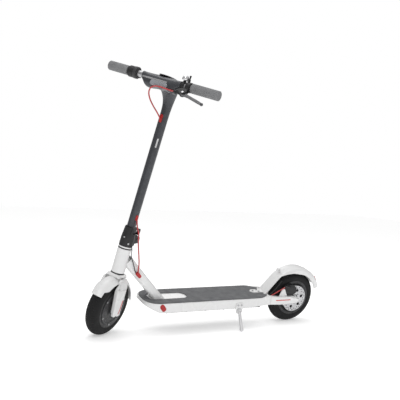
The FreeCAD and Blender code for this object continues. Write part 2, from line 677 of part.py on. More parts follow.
# ---- bar and controls ----
def handlebar():
    half = bar_length / 2 - 3
    x, z = bar_forward, bar_height
    front_nodes["handlebar"] = pipe((x, -half, z), (x, half, z), bar_radius, bar_radius - bar_wall)
    grips = []
    for near, far in (grip_left, tuple(-v for v in reversed(grip_right))):
        end = min(far, bar_length / 2)
        grip = rod((x, near, z), (x, end, z), grip_radius)
        grip = soften(grip, 2.0, lambda b, e: b.YLength < 0.01)
        grip = grip.cut(across(x, z, near - 1, half + clamp_gap, bar_radius + clamp_gap))
        grips.append(grip if near == grip_left[0] else grip.mirror(ORIGIN, Y_AXIS))
    front_nodes["grips"] = group(grips)

    bore = bar_radius + clamp_gap
    housing = pipe((x, -112.5, z), (x, -100, z), 20.5, bore)
    housing = soften(housing, 1.5, lambda b, e: b.YLength < 0.01 and b.XLength > 35)
    front_nodes["throttle_housing"] = housing
    ring = pipe((x, -133, z), (x, -113, z), 19.5, bar_radius + 0.4)
    ring = soften(ring, 1.5, lambda b, e: b.YLength < 0.01 and b.XLength > 35)
    paddle = plate_xz([(x - 14, z + 6, 2), (x - 34, z + 2, 5), (x - 48, z - 9, 3.5), (x - 44, z - 14, 3.5),
                       (x - 24, z - 8, 5), (x - 10, z - 14, 2)], -131, -115)
    paddle = paddle.cut(across(x, z, -140, -100, 18))
    front_nodes["throttle_lever"] = join([ring, paddle])


def brake_lever():
    x, z = bar_forward, bar_height
    bore = bar_radius + clamp_gap
    drop = math.radians(lever_drop)
    normal = Vector(math.sin(drop), 0, math.cos(drop))
    clamp = pipe((x, 97, z), (x, 112, z), 17.0, bore)
    pivot = lever_point(lever_pivot_d, lever_pivot_y)

    def in_plane(corners, lift0, lift1):
        wire = rounded_wire(corners, lambda p: lever_point(p.x, p.y, lift0))
        return Part.Face(wire).extrude(normal * (lift1 - lift0))

    ears = [in_plane([(14, 95, 3), (14, 111, 3), (lever_pivot_d, 109, 5), (lever_pivot_d + 7, 103, 5),
                      (lever_pivot_d + 7, 94, 4), (29, 78, 3), (24, 78, 3), (16, 88, 3)], low, high)
            for low, high in ((-8.0, -4.4), (4.4, 8.0))]
    back = in_plane([(14, 91, 1), (14, 108, 2), (22, 108, 2), (27, 92, 2), (31, 86, 2), (27, 80, 2)], -8, 8)
    barrel_start, barrel_end = lever_point(34, 89), lever_point(34, 67)
    axis = barrel_end - barrel_start
    adjuster = Part.makeCylinder(5.5, axis.Length, barrel_start, axis)
    collar = Part.makeCylinder(6.8, 7, barrel_start + axis * 0.55, axis)
    bracket = join([clamp, back, adjuster, collar] + ears)
    bracket = bracket.cut(across(x, z, 60, 140, bore))
    bracket = bracket.cut(Part.makeCylinder(lever_pin_radius + running_gap, 40, pivot - normal * 20, normal))
    bracket = bracket.cut(Part.makeCylinder(1.3, 40, barrel_end + axis, -axis))
    front_nodes["brake_bracket"] = bracket

    blade = [(lever_pivot_d - 5, lever_pivot_y - 6, 4), (lever_pivot_d - 4, lever_pivot_y + 8, 6),
             (lever_pivot_d + 1, 122, 20), (47, 168, 30), (52, 183, 3.5), (57, 184, 3.5), (54, 168, 30),
             (lever_pivot_d + 8, 122, 20),
             (lever_pivot_d + 7, lever_pivot_y + 4, 5), (lever_pivot_d + 6, lever_pivot_y - 8, 4)]
    lever = in_plane(blade, -4.0, 4.0)
    ball = Part.makeSphere(5.4, lever_point(55.0, 184))
    lever = join([lever, ball])
    lever = lever.cut(Part.makeCylinder(lever_pin_radius + running_gap, 40, pivot - normal * 20, normal))
    front_nodes["brake_lever"] = lever
    pin = Part.makeCylinder(lever_pin_radius, 16.4, pivot - normal * 8.2, normal)
    pin = pin.fuse(Part.makeCylinder(4, 1.6, pivot + normal * 8.1, normal))
    latch_pin = across(latch_x, latch_z, -12.5, 12.5, 3.0)
    front_nodes["lever_pins"] = group([pin, latch_pin])
    return pivot, normal


bell_y = 82.5
bell_radius = 11.5


def bell():
    x, z = bar_forward, bar_height
    dome_z = z + 25.5
    clamp = pipe((x, bell_y - 4, z), (x, bell_y + 6, z), 14.8, bar_radius + clamp_gap)
    post = rod((x, bell_y, z + 12), (x, bell_y, dome_z - 7), 5)
    stalk = rod((x, bell_y, z + 16), (x, bell_y, dome_z + bell_radius - 1.5), 2.0)
    arm = box(x - 4, x + 4, bell_y + 3, bell_y + 17, z + 17.2, z + 19)
    cheeks = [box(*sorted((x + side * 2.4, x + side * 4)), bell_y + 13, bell_y + 18.6, z + 17.2, z + 25)
              for side in (-1, 1)]
    pivot = Vector(x, bell_y + 16, z + 22.4)
    pin = rod((x - 4, pivot.y, pivot.z), (x + 4, pivot.y, pivot.z), 1.4)
    base = join([clamp, post, stalk, arm, pin] + cheeks)
    base = base.cut(across(x, z, 60, 120, bar_radius + clamp_gap))
    centre = Vector(x, bell_y, dome_z)
    dome = Part.makeSphere(bell_radius, centre).cut(Part.makeSphere(bell_radius - 1.2, centre))
    dome = dome.common(box(x - 30, x + 30, bell_y - 30, bell_y + 30, dome_z - 5, dome_z + 30))
    striker = join([rod((x - 2.1, pivot.y, pivot.z), (x + 2.1, pivot.y, pivot.z), 2.9),
                    box(x - 2, x + 2, pivot.y - 1.8, pivot.y + 2.0, pivot.z, pivot.z + 13),
                    rod((x, pivot.y + 2.0, pivot.z + 13), (x, pivot.y - 1.8, pivot.z + 13), 3.2)])
    striker = striker.cut(rod((x - 5, pivot.y, pivot.z), (x + 5, pivot.y, pivot.z), 1.4 + running_gap))
    front_nodes["bell_base"] = base
    front_nodes["bell_dome"] = dome
    front_nodes["bell_striker"] = striker
    return pivot


# ---- frame ----
down_tube_low = (629.5, 0.0, 133.0)
down_tube_high = (766.0, 0.0, 275.5)
down_tube_thickness = 36.0
down_tube_width = 55.0
compartment = (195.0, 612.0, 62.0)
socket_place = (634.0, 118.0)


def down_tube():
    low, high = Vector(*down_tube_low), Vector(*down_tube_high)
    along = (high - low).normalize()
    normal = Vector(-along.z, 0, along.x)
    sections = [(-40, 1.0, 1.0), (30, 1.0, 1.0), (95, 0.96, 1.0), ((high - low).Length + 8, 0.80, 1.12)]
    wires = [oval(low + along * s, down_tube_width / 2 * w, down_tube_thickness / 2 * t, Y_AXIS, normal, 3.4)
             for s, w, t in sections]
    tube = Part.makeLoft(wires, True, False)
    inner = [oval(low + along * s, down_tube_width / 2 * w - 3, down_tube_thickness / 2 * t - 3, Y_AXIS, normal, 3.4)
             for s, w, t in sections]
    tube = tube.cut(box(500, 900, -60, 60, 0, deck_top))
    blocker = rod((0, 0, 0), (0, 0, 320), head_tube_radius + 0.02).transformed(steering_place(0).toMatrix())
    tube = tube.cut(blocker)
    keep = max(tube.Solids, key=lambda solid: solid.Volume)
    hollow = Part.makeLoft(inner, True, False)
    wall_block = rod((0, 0, 0), (0, 0, 320), head_tube_radius + 4).transformed(steering_place(0).toMatrix())
    keep = keep.cut(hollow.cut(wall_block))
    keep = max(keep.Solids, key=lambda solid: solid.Volume)
    return keep, along, normal


def pill(centre, length, radius, angle, y0, y1):
    """Slanted slot shape across Y; angle is from the vertical, towards the back."""
    lean = math.radians(angle)
    along = Vector(math.sin(lean), 0, math.cos(lean)) * (length / 2 - radius)
    top, low = Vector(*centre) + along, Vector(*centre) - along
    side = Vector(along.z, 0, -along.x).normalize() * radius
    corners = [top - side, top + side, low + side, low - side]
    middle = Part.Face(Part.makePolygon([Vector(c.x, y0, c.z) for c in corners + corners[:1]]))
    return join([middle.extrude(Vector(0, y1 - y0, 0)), across(top.x, top.z, y0, y1, radius),
                 across(low.x, low.z, y0, y1, radius)])


def deck():
    half = deck_half_width
    rear_half = arm_inner + arm_thickness + arm_cover_thickness
    plan = plate_xy(mirrored([(deck_front, half, 56), (230, half, 60), (deck_rear + 20, rear_half, 20),
                              (deck_rear, rear_half, 3)]), deck_bottom, deck_top)
    side = plate_xz([(deck_front + 1, deck_top, 0), (deck_front + 1, 122, 9), (642, deck_bottom, 60),
                     (deck_rear - 1, deck_bottom, 0), (deck_rear - 1, deck_top, 0)], -100, 100)
    shape = plan.common(side)
    shape = soften(shape, 2.5, lambda b, e: b.ZLength < 0.01 and b.ZMin > deck_top - 0.01)
    x0, x1, width = compartment
    room = plate_xy([(x0, -width, 12), (x1, -width, 12), (x1, width, 12), (x0, width, 12)],
                    deck_bottom - 1, deck_top - 4)
    shape = shape.cut(room)
    sx, sz = socket_place
    shape = shape.cut(pill((sx, 0, sz), 32, 9.2, 38, half - 3.2, half + 5))
    shape = shape.cut(across(sx, sz, half - 24, half + 5, 8.1))
    shape = shape.cut(across(sx, sz, 40, half, 3.5))
    plate = plate_xy([(x0 - 8, -width - 4, 14), (x1 + 14, -width - 4, 14), (x1 + 14, width + 4, 14),
                      (x0 - 8, width + 4, 14)], deck_bottom - 3.4, deck_bottom)
    screws = []
    for side_y in (-1, 1):
        for i in range(6):
            x = x0 + 6 + i * (x1 - x0 - 6) / 5
            place = (x, side_y * (width + 1.0), deck_bottom - 3.4)
            plate = plate.cut(rod((x, place[1], 80), (x, place[1], 100), 1.6))
            shape = shape.cut(rod((x, place[1], 90), (x, place[1], deck_bottom + 9), 1.6))
            screws.append(bolt(place, (0, 0, -1), 3.0, 1.4, 1.5, 11))
    frame_nodes["bottom_cover"] = plate
    frame_nodes["battery_pack"] = plate_xy([(330, -45, 6), (598, -45, 6), (598, 45, 6), (330, 45, 6)],
                                           deck_bottom + 1, deck_top - 8)
    frame_nodes["motor_controller"] = plate_xy([(222, -38, 4), (308, -38, 4), (308, 38, 4), (222, 38, 4)],
                                               deck_bottom + 1, deck_top - 10)
    frame_nodes["charge_socket"] = rod((sx, half - 23.9, sz), (sx, half - 5.4, sz), 8.0).cut(
        across(sx, sz, half - 18, half, 4.1))
    flap = pill((sx, 0, sz), 31.4, 8.9, 38, half - 3.0, half + 0.4)
    tongue = across(sx, sz, half - 5.2, half - 2.9, 7.2)
    frame_nodes["charge_flap"] = join([soften(flap, 0.8, lambda b, e: b.YMin > half + 0.39), tongue])
    return shape, screws


def mat():
    inset = 5.5
    half = deck_half_width - inset
    outline = mirrored([(deck_front - inset, half, 52), (deck_rear + 50, half, 40), (deck_rear + 8, 40, 18)])
    shape = plate_xy(outline, deck_top, deck_top + mat_thickness)
    window = plate_xy(mirrored([(668, 29.5, 20), (506, 28, 27.5)]), deck_top - 1, deck_top + 9)
    tongue = plate_xy(mirrored([(210, 18, 17), (ramp_foot + 8, 18, 1), (ramp_foot + 8, 35, 3), (100, 35, 0)]),
                      deck_top - 1, deck_top + 9)
    return shape.cut(window).cut(tongue)


def rear_fender():
    outside, half, skin = rear_fender_radius, rear_fender_half_width, 2.5
    inside = outside - skin
    centre = Vector(0, 0, wheel_radius)
    low = outside - rear_fender_skirt
    edge = half - skin
    corners = [(low, -half, 0), (outside - 2, -half, 13), (outside, 0, 60), (outside - 2, half, 13), (low, half, 0),
               (low, edge, 0), (inside - 2, edge, 10.5), (inside, 0, 60), (inside - 2, -edge, 10.5), (low, -edge, 0)]
    face = Part.Face(rounded_wire(corners, lambda p: Vector(p.x, p.y, 0)))
    start = face.copy()
    start.rotate(ORIGIN, Y_AXIS, -ramp_angle)
    start.translate(centre)
    arc = start.copy().revolve(centre, Vector(0, -1, 0), 158 - ramp_angle)
    down = Vector(math.sin(math.radians(ramp_angle)), 0, -math.cos(math.radians(ramp_angle)))
    ramp = start.extrude(down * 95)
    ramp = ramp.cut(box(0, 400, -100, 100, -50, deck_top + 0.1)).common(box(0, ramp_foot + 7, -100, 100, 0, 400))
    skirt_line = rod((28, -100, 80), (28, 100, 80), 138).cut(box(-200, 300, -edge + 4, edge - 4, -100, 300))
    front_half = box(-15, 300, -100, 100, 0, 300)
    arc = arc.cut(skirt_line)
    ramp = ramp.cut(skirt_line.common(front_half))
    pad = plate_xy(mirrored([(207, 16, 15.5), (ramp_foot - 6, 16, 0)]), deck_top + 0.1, deck_top + 4)
    shape = join([arc, ramp, pad])
    hook_angle = math.radians(55)
    tip = centre + Vector(math.cos(hook_angle), 0, math.sin(hook_angle)) * (outside + 11)
    root = centre + Vector(math.cos(hook_angle), 0, math.sin(hook_angle)) * (outside - 1)
    hook = join([across(tip.x, tip.z, -7, 7, 6.5),
                 rod(tuple(root), tuple(tip), 6.4).common(box(0, 400, -7, 7, 0, 400))])
    shape = join([shape, hook]).cut(across(tip.x, tip.z, -20, 20, 3.0))
    lamp_angles = (141, 154)
    lamp_profile = [(outside - 0.6, -15), (outside + 5, -13), (outside + 5, 13), (outside - 0.6, 15)]
    lamp = Part.Face(Part.makePolygon([Vector(r, y, 0) for r, y in lamp_profile + lamp_profile[:1]]))
    lamp.rotate(ORIGIN, Y_AXIS, -lamp_angles[0])
    lamp.translate(centre)
    lamp = lamp.revolve(centre, Vector(0, -1, 0), lamp_angles[1] - lamp_angles[0])
    shape = shape.cut(lamp)
    screws = []
    for x, y in ((172, -9), (172, 9), (196, 0)):
        shape = shape.cut(rod((x, y, 100), (x, y, 160), 2.2))
        screws.append(bolt((x, y, deck_top + 4), (0, 0, 1), 4.0, 2.2, 2.1, 7))
    frame_nodes["rear_fender"] = shape
    frame_nodes["tail_light"] = lamp
    return screws


def rear_arms():
    outer = arm_inner + arm_thickness
    arm_outline = [(deck_rear - 0.02, deck_bottom, 0), (deck_rear - 0.02, deck_top, 0), (90, 127, 20),
                   (30, 126, 12), (-14, 118, 9), (-14, 98, 9), (10, 94, 12)]
    arm = plate_xz(arm_outline, arm_inner, outer)
    arm = arm.cut(across(0, wheel_radius, 30, 70, axle_radius + running_gap))
    lug = plate_xz([(92, 126, 0), (80, 158, 5), (70, 158, 5), (52, 126, 0)], arm_inner, arm_inner + 4)
    left_arm = join([arm, lug])
    right_arm = arm.mirror(ORIGIN, Y_AXIS)
    cover_outline = [(deck_rear - 0.04, deck_bottom, 0), (deck_rear - 0.04, deck_top, 0), (100, 128, 24),
                     (40, 127, 30), (-12, 112, 4), (8, 99, 8), (90, deck_bottom - 3, 20)]
    cover = plate_xz(cover_outline, outer + clamp_gap, outer + arm_cover_thickness)
    cover = soften(cover, 2.0, lambda b, e: b.YMin > outer + arm_cover_thickness - 0.01
                   and b.XMax < deck_rear - 0.1)
    cover = cover.cut(across(0, wheel_radius, outer - 1, outer + 5.6, 9.9))
    frame_nodes["rear_arms"] = group([left_arm, right_arm, both_sides(cover)])


def rear_wheel():
    centre = Vector(0, 0, wheel_radius)
    inside = rim_half_width - 2.5
    ring = turned([(58.0, -8), (60, -rim_half_width + 3), (64, -rim_half_width),
                   (rim_flange_radius, -rim_half_width), (rim_flange_radius, -inside), (bead_radius, -inside),
                   (bead_radius, -14), (61.5, -12), (61.5, 12), (bead_radius, 14), (bead_radius, inside),
                   (rim_flange_radius, inside), (rim_flange_radius, rim_half_width), (64, rim_half_width),
                   (60, rim_half_width - 3), (58, 8)], Y_AXIS)
    web = pipe((0, -4, 0), (0, 4, 0), 58.5, 16)
    hub = pipe((0, -24, 0), (0, disc_y, 0), 19, 9)
    flange = pipe((0, disc_y - 5, 0), (0, disc_y, 0), 28, 9)
    rim = join([ring, web, hub, flange])
    for x, z in around_wheel(6, 39):
        rim = rim.cut(across(x, z, -10, 10, 11))
    for y0, y1 in ((disc_y - bearing_width, disc_y + 1), (-25, -24 + bearing_width)):
        rim = rim.cut(across(0, 0, y0, y1, bearing_radius))
    bolts = []
    disc = pipe((0, disc_y, 0), (0, disc_y + disc_thickness, 0), disc_radius, 17.5)
    for x, z in around_wheel(6, 23, 15):
        rim = rim.cut(across(x, z, disc_y - 9, disc_y + 1, 2.0))
        disc = disc.cut(across(x, z, disc_y - 1, disc_y + 3, 2.1))
        bolts.append(bolt((x, disc_y + disc_thickness, z), (0, 1, 0), 3.6, 2.4, 1.95, 8))
    for x, z in around_wheel(6, 36, 45):
        disc = disc.cut(across(x, z, disc_y - 1, disc_y + 3, 6.5))
    for radius, offset in ((45.5, 0), (51, 10)):
        for x, z in around_wheel(18, radius, offset):
            disc = disc.cut(across(x, z, disc_y - 1, disc_y + 3, 2.3))
    bearings = [pipe((0, disc_y - bearing_width, 0), (0, disc_y, 0), bearing_radius, bearing_bore),
                pipe((0, -24, 0), (0, -24 + bearing_width, 0), bearing_radius, bearing_bore)]
    outer = arm_inner + arm_thickness
    axle = across(0, 0, -outer - 5, outer + 5, axle_radius)
    sleeves = [across(0, 0, disc_y + 0.4, arm_inner - clamp_gap, 9), across(0, 0, -arm_inner + clamp_gap, -24.4, 9)]
    nut = Part.Face(Part.makePolygon([Vector(9.6 * math.cos(math.radians(60 * i)), outer + clamp_gap,
                                             9.6 * math.sin(math.radians(60 * i))) for i in range(7)]))
    nuts = both_sides(nut.extrude(Vector(0, 5, 0)))
    axle_set = join([axle] + sleeves + nuts.Solids)
    for name, shape in (("rear_rim", rim), ("rear_tyre", tyre()), ("rear_inner_tube", inner_tube()),
                        ("rear_bearings_and_bolts", group(bearings + bolts)), ("brake_disc", disc),
                        ("rear_axle", axle_set)):
        moved = shape.copy()
        moved.translate(centre)
        frame_nodes[name] = moved


caliper_pivot = (34.0, 156.0)


def caliper():
    x, z = caliper_pivot
    low, high = disc_y - 0.6, disc_y + disc_thickness + 0.6
    body = plate_xz([(4, 138, 6), (22, 128, 5), (60, 130, 6), (66, 146, 5), (54, 170, 7), (24, 172, 8),
                     (6, 160, 7)], 26.6, arm_inner - 0.4)
    slot = pipe((0, low, wheel_radius), (0, high, wheel_radius), disc_radius + 1, 1)
    body = body.cut(slot)
    tab = plate_xz([(50, 140, 3), (70, 138, 4), (84, 146, 4), (82, 156, 4), (56, 168, 5)], 37.6, arm_inner - 0.2)
    body = join([body, tab])
    body = body.cut(across(x, z, arm_inner - 6, arm_inner + 1, 3.0 + running_gap))
    frame_nodes["caliper_body"] = body
    start = arm_inner + 4.4
    arm = plate_xz([(x - 7, z - 7, 6.9), (x + 7, z - 7, 6.9), (x + 38, z + 9.5, 1), (x + 37, z + 17.5, 1),
                    (x + 3, z + 8, 8), (x - 7, z + 7, 6.9)], start, start + 4)
    shaft = across(x, z, arm_inner - 5.5, start + 0.5, 3.0)
    boss = across(x, z, arm_inner, start + 0.5, 6.0)
    barrel = across(x + 38, z + 13.5, start, start + 8, 4.2)
    frame_nodes["caliper_arm"] = join([arm, shaft, boss, barrel])


leg_radius = 6.0


def stand():
    """Side stand: bracket and pin on the frame, and the leg that swings back under the deck."""
    tilt = math.radians(stand_axis_tilt)
    axis = Vector(0, math.cos(tilt), math.sin(tilt))
    head = Vector(*stand_head)
    foot = parked.inverse().multVec(Vector(stand_foot[0], stand_foot[1], stand_pad_radius))
    along = (foot - head).normalize()
    lug_centre = head - axis * 10
    plate = plate_xz([(284, deck_bottom - 8, 4), (316, deck_bottom - 8, 4), (316, 120, 6), (284, 120, 6)],
                     deck_half_width + 0.1, deck_half_width + 3.4)
    lug = Part.makeCylinder(9.5, 9, lug_centre - axis * 3, axis)
    web = box(291, 309, deck_half_width - 4, deck_half_width + 3.4, 84, deck_bottom - 0.1)
    clip = box(200, 400, 67, 200, 60, 130).cut(box(200, 400, 0, deck_half_width + 0.1, deck_bottom - 0.1, 200))
    bracket = join([plate, lug, web]).common(clip)
    swing = Part.makeCylinder(10.2, 14, head - axis * 3.9, axis)
    bracket = bracket.cut(swing)
    for angle in (76, 80, 84, 88, 91):
        folded = Rotation(axis, angle).multVec(along)
        bracket = bracket.cut(rod(tuple(head + folded * 5), tuple(head + folded * 60), leg_radius + part_gap))
    pin = Part.makeCylinder(3.4, 17, head - axis * 11, axis)
    bracket = bracket.fuse(pin)
    screws = [bolt((x, deck_half_width + 3.4, 112), (0, 1, 0), 3.8, 2.2, 2.0, 10) for x in (292, 308)]
    holes = [rod((x, deck_half_width - 9, 112), (x, deck_half_width + 4, 112), 2.1) for x in (292, 308)]
    for hole in holes:
        bracket = bracket.cut(hole)
    frame_nodes["stand_bracket"] = max(bracket.Solids, key=lambda solid: solid.Volume)

    hub = Part.makeCylinder(9.5, 7.5, head - axis * 3.4, axis).cut(
        Part.makeCylinder(3.4 + running_gap, 30, head - axis * 15, axis))
    leg = rod(tuple(head + along * 5), tuple(foot), leg_radius)
    pad = Part.makeSphere(stand_pad_radius, foot)
    leg = join([hub, leg, pad]).cut(Part.makeCylinder(3.4 + running_gap, 30, head - axis * 15, axis))
    leg = leg.cut(Part.makeCylinder(10.4, 24, head - axis * 27.8, axis))
    frame_nodes["stand_leg"] = max(leg.Solids, key=lambda solid: solid.Volume)
    return screws, holes, axis, along


def frame_grommet(along, normal):
    """Red plug on the left of the down tube, where the two cables go in from above."""
    centre = Vector(*down_tube_low) + along * 143 - normal * 4 + Y_AXIS * (down_tube_width / 2 - 3)
    ends = [Part.makeCylinder(6.4, 9.5, centre + along * offset, Y_AXIS) for offset in (-6, 6)]
    middle = Part.makeBox(12.8, 9.5, 12, Vector(-6.4, 0, -6))
    middle.Placement = Placement(centre, Rotation(Y_AXIS, -math.degrees(math.atan2(-along.x, along.z))))
    return join(ends + [middle]), centre + Y_AXIS * 5.5 + along * 6


def inside_frame(point):
    """Front-side point at rest, in the frame side's own frame."""
    return steering_place(steer_rest).multVec(Vector(*point))


lead_exit = ((-4.0, 21.8, 239.0), (-6.0, 28.6, 222.0))


def crossing_cables(entry, along, normal):
    """Brake cable and display lead that hang from the stem to the down tube."""
    upper = stem_cable_points()
    mouth, before = inside_frame(upper[-1]), inside_frame(upper[-2])
    start = mouth + (mouth - before).normalize() * 20
    brake_points = [mouth, start, inside_frame((-7, 35, 288)), inside_frame((-13, 37, 258)),
                    entry + Vector(0, 4, 38), entry + Vector(0.5, 1, 14), entry - along * 6]
    lead_entry = entry + along * 3 + normal * -4 + Y_AXIS * -3.4
    lead_points = [inside_frame(lead_exit[0]), inside_frame(lead_exit[1]), inside_frame((-7.5, 28.5, 203)),
                   lead_entry + Vector(14, 3, 34), lead_entry + Vector(5, 0.5, 9), lead_entry - along * 5]
    brake = cord("brake_cable_crossing", [tuple(p) for p in brake_points], cable_radius)
    lead = cord("display_lead", [tuple(p) for p in lead_points], thin_cable_radius)
    return brake, lead


def rear_cables(arm_point):
    """Brake cable and tail light wire behind the deck."""
    start = (deck_rear - 0.9, arm_inner - 4.5, deck_top - 8)
    brake = [start, (127, 40, 130), (111, 46, 143), tuple(arm_point)]
    wire = [(deck_rear - 0.7, 34, deck_top - 6), (128, 33.5, 134), (114, 36.5, 150), (96, 36.5, 172), (82, 34.6, 189)]
    return (cord("brake_cable_rear", brake, cable_radius - 0.4),
            cord("tail_light_wire", wire, thin_cable_radius - 0.3))


# ---- build ----
def build():
    front_wheel()
    motor_inside()
    fork()
    base_bottom, head_bearings = steering_head()
    fold_joint(base_bottom)
    grommet_blank, cable_hole = stem()
    button = stem_head()
    front_nodes["stem_head"] = front_nodes["stem_head"].cut(grommet_blank).cut(cable_hole)
    handlebar()
    lever = brake_lever()
    bell_pivot = bell()
    tube, along, normal = down_tube()
    deck_shape, frame_screws = deck()
    mat_shape = mat()
    frame_screws += rear_fender()
    rear_arms()
    rear_wheel()
    caliper()
    stand_screws, stand_holes, stand_axis, stand_along = stand()
    for hole in stand_holes:
        deck_shape = deck_shape.cut(hole)
    for x, y in ((172, -9), (172, 9), (196, 0)):
        deck_shape = deck_shape.cut(rod((x, y, deck_top - 5), (x, y, deck_top + 1), 2.2))
    plug, entry = frame_grommet(along, normal)
    brake, lead = crossing_cables(entry, along, normal)
    tube = tube.cut(plug)
    frame_nodes["down_tube"] = max(tube.Solids, key=lambda solid: solid.Volume)
    frame_nodes["frame_grommet"] = plug.cut(brake).cut(lead)
    frame_nodes["crossing_cables"] = group([brake, lead])
    frame_nodes["deck_frame"] = deck_shape
    frame_nodes["deck_mat"] = mat_shape
    frame_nodes["frame_screws_and_head_bearings"] = group(frame_screws + stand_screws + [head_bearings])
    x, z = caliper_pivot
    frame_nodes["rear_cables"] = group(rear_cables((x + 41.8, arm_inner + 8.6, z + 11)))
    facts = {"button": button, "lever": lever, "bell_pivot": bell_pivot, "stand_axis": stand_axis,
             "stand_along": stand_along}
    return facts


def placed_nodes():
    """Every node in its parked place, with the origin under the middle of the scooter."""
    placed = {}
    for nodes, place in ((front_nodes, front_rest), (frame_nodes, parked)):
        for name, shape in nodes.items():
            placed[name] = shape.transformed(place.toMatrix(), True)
    outer = ("rear_fender", "tail_light", "rear_tyre", "front_tyre", "front_fender", "grips", "brake_lever",
             "bell_striker", "bell_dome", "stand_leg", "throttle_lever", "stem_head", "dash_cover")
    whole = FreeCAD.BoundBox()
    for name in outer:
        whole.add(placed[name].optimalBoundingBox(False, False))
    shift = Vector(-(whole.XMin + whole.XMax) / 2, -(whole.YMin + whole.YMax) / 2, -whole.ZMin)
    for name in placed:
        placed[name].translate(shift)
    return placed, shift


facts = build()
placed, origin_shift = placed_nodes()
os.makedirs("parts", exist_ok=True)
for name, shape in placed.items():
    shape.exportStep("parts/" + name + ".step")
print(len(placed), "nodes")
for name, length, radius, ratio in cord_report:
    print(name, "length", round(length, 1), "radius at least", round(radius, 1), "volume ratio", round(ratio, 4))
print("shift", [round(value, 3) for value in origin_shift])
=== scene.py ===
import bpy
import json
import math
from mathutils import Matrix, Vector
from mathutils.bvhtree import BVHTree


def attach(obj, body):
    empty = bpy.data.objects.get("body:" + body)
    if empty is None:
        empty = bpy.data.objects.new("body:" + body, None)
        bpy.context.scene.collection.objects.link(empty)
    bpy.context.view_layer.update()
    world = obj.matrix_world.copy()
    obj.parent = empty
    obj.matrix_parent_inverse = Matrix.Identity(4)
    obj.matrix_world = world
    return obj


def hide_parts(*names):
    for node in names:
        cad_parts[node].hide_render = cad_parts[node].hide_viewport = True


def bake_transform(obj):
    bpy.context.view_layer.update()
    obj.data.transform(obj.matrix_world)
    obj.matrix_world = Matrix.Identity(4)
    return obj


# Electric kick scooter, parked on its side stand. Metres, in the row frame.

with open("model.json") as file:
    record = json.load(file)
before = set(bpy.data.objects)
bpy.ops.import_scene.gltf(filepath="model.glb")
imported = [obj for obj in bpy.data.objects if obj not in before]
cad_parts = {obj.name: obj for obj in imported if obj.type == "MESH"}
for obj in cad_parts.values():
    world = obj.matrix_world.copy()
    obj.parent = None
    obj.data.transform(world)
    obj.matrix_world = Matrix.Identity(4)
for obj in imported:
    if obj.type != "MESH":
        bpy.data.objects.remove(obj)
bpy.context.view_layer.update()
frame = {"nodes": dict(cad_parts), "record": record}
nodes = frame["nodes"]
record = frame["record"]
joints = {joint["name"]: joint for joint in record["behaviour"]["joints"]}
slotOf = {part["node"]: part["material_slot"] for part in record["subparts"]}
print("frame loaded:", len(nodes), "nodes")


# the scooter leans on its stand, so the front and rear each have a frame of their own
def leaningFrame(origin, xAxis, yAxis):
    x = Vector(xAxis).normalized()
    y = Vector(yAxis).normalized()
    matrix = Matrix((x, y, x.cross(y))).transposed().to_4x4()
    matrix.translation = origin
    return matrix


wheelRadius = 0.108
steerAxis = Vector(joints["steering"]["axis"])
frontAxle = Vector(joints["front_wheel_spin"]["axis"])
frontFrame = leaningFrame(Vector(joints["front_wheel_spin"]["pos_m"]), frontAxle.cross(steerAxis), frontAxle)
deckForward = Vector(joints["charge_flap_hinge"]["axis"])
rearAxle = Vector(joints["rear_wheel_spin"]["axis"])
rearCentre = Vector(joints["rear_wheel_spin"]["pos_m"])
rearFrame = leaningFrame(rearCentre - deckForward.cross(rearAxle) * wheelRadius, deckForward, rearAxle)
rearWheelFrame = leaningFrame(rearCentre, deckForward, rearAxle)


def groupTree(name, inputs, outputs):
    tree = bpy.data.node_groups.new(name, "ShaderNodeTree")
    for label, kind, value in inputs:
        socket = tree.interface.new_socket(name=label, in_out="INPUT", socket_type=kind)
        socket.default_value = value
    for label in outputs:
        tree.interface.new_socket(name=label, in_out="OUTPUT", socket_type="NodeSocketFloat")
    return tree, tree.nodes.new("NodeGroupInput").outputs, tree.nodes.new("NodeGroupOutput").inputs


def put(tree, socket, value):
    if isinstance(value, bpy.types.NodeSocket):
        tree.links.new(value, socket)
    else:
        socket.default_value = value


def calc(tree, operation, *values):
    node = tree.nodes.new("ShaderNodeMath")
    node.operation = operation
    for socket, value in zip(node.inputs, values):
        put(tree, socket, value)
    return node.outputs[0]


def vectorCalc(tree, operation, output, *values):
    node = tree.nodes.new("ShaderNodeVectorMath")
    node.operation = operation
    for socket, value in zip(node.inputs, values):
        put(tree, socket, value)
    return node.outputs[output]


def rescale(tree, value, low, high, toLow=0.0, toHigh=1.0):
    node = tree.nodes.new("ShaderNodeMapRange")
    for label, number in (("Value", value), ("From Min", low), ("From Max", high),
                          ("To Min", toLow), ("To Max", toHigh)):
        put(tree, node.inputs[label], number)
    return node.outputs["Result"]


def place(tree):
    return tree.nodes.new("ShaderNodeTexCoord").outputs["Object"]


def noise(tree, vector, scale, detail):
    node = tree.nodes.new("ShaderNodeTexNoise")
    put(tree, node.inputs["Vector"], vector)
    put(tree, node.inputs["Scale"], scale)
    put(tree, node.inputs["Detail"], detail)
    return node.outputs["Fac"]


# effects that several materials share
number = "NodeSocketFloat"
arrow = "NodeSocketVector"
effectSizes = {"broadDivisor": 40.0, "broadDetail": 2.0, "broadRange": (0.3, 0.7),
               "patchDetail": 5.0, "fineFactor": 9.0, "fineDetail": 4.0, "patchRange": (0.27, 0.42),
               "speckleScale": 140.0, "speckleDetail": 6.0, "speckleRange": (0.35, 0.7),
               "ribRange": (-0.4, 0.6)}

tree, given, result = groupTree("fineGrain", [("Scale", number, 900.0), ("Detail", number, 3.0)],
                                ["Height", "Mask"])
fine = noise(tree, place(tree), given["Scale"], given["Detail"])
broad = noise(tree, place(tree), calc(tree, "DIVIDE", given["Scale"], effectSizes["broadDivisor"]),
              effectSizes["broadDetail"])
put(tree, result["Height"], fine)
put(tree, result["Mask"], rescale(tree, broad, *effectSizes["broadRange"]))
fineGrain = tree

